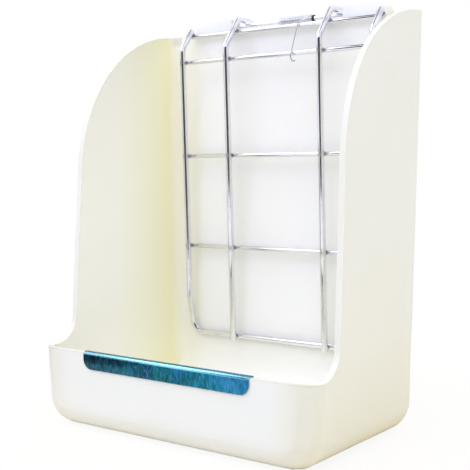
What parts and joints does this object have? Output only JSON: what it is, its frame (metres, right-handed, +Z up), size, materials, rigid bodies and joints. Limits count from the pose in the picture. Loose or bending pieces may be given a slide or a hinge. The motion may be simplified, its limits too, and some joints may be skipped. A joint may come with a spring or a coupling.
{
  "type": "hay feeder box",
  "caption": "Moulded feeding trough with tall side wings and a sprung wire grill that holds hay against the back wall.",
  "frame": {"origin": "centre of the flat base, where the feeder stands", "axes": "+Z up, -Y towards the animal at the open front, +X to the right seen from the front"},
  "size_m": [0.1802, 0.1253, 0.2322],
  "materials": {
    "ivory_plastic": "smooth moulded, soft sheen",
    "plated_wire": "bright plated steel wire, spot welded",
    "spring_steel": "drawn spring wire",
    "black_rubber": "matt",
    "blue_sheet_metal": "mottled blue, glossy"
  },
  "bodies": {
    "box": {"feeder_box": "ivory_plastic", "chew_guard": "blue_sheet_metal", "hinge_rod": "plated_wire", "spring_stop_ring": "black_rubber", "torsion_spring": "spring_steel"},
    "grill": {"frame_wire": "plated_wire", "inner_wire_left": "plated_wire", "inner_wire_right": "plated_wire", "cross_wire_top": "plated_wire", "cross_wire_upper": "plated_wire", "cross_wire_middle": "plated_wire", "cross_wire_lower": "plated_wire"}
  },
  "joints": [
    {"name": "grill_hinge", "type": "hinge", "parent": "box", "child": "grill", "pos_m": [0, 0.0572, 0.227], "axis": [-1, 0, 0], "range_deg": [0, 75], "stiffness_Nm_per_rad": 0.03, "springref_deg": -20.05, "deforming": ["torsion_spring"]}
  ]
}
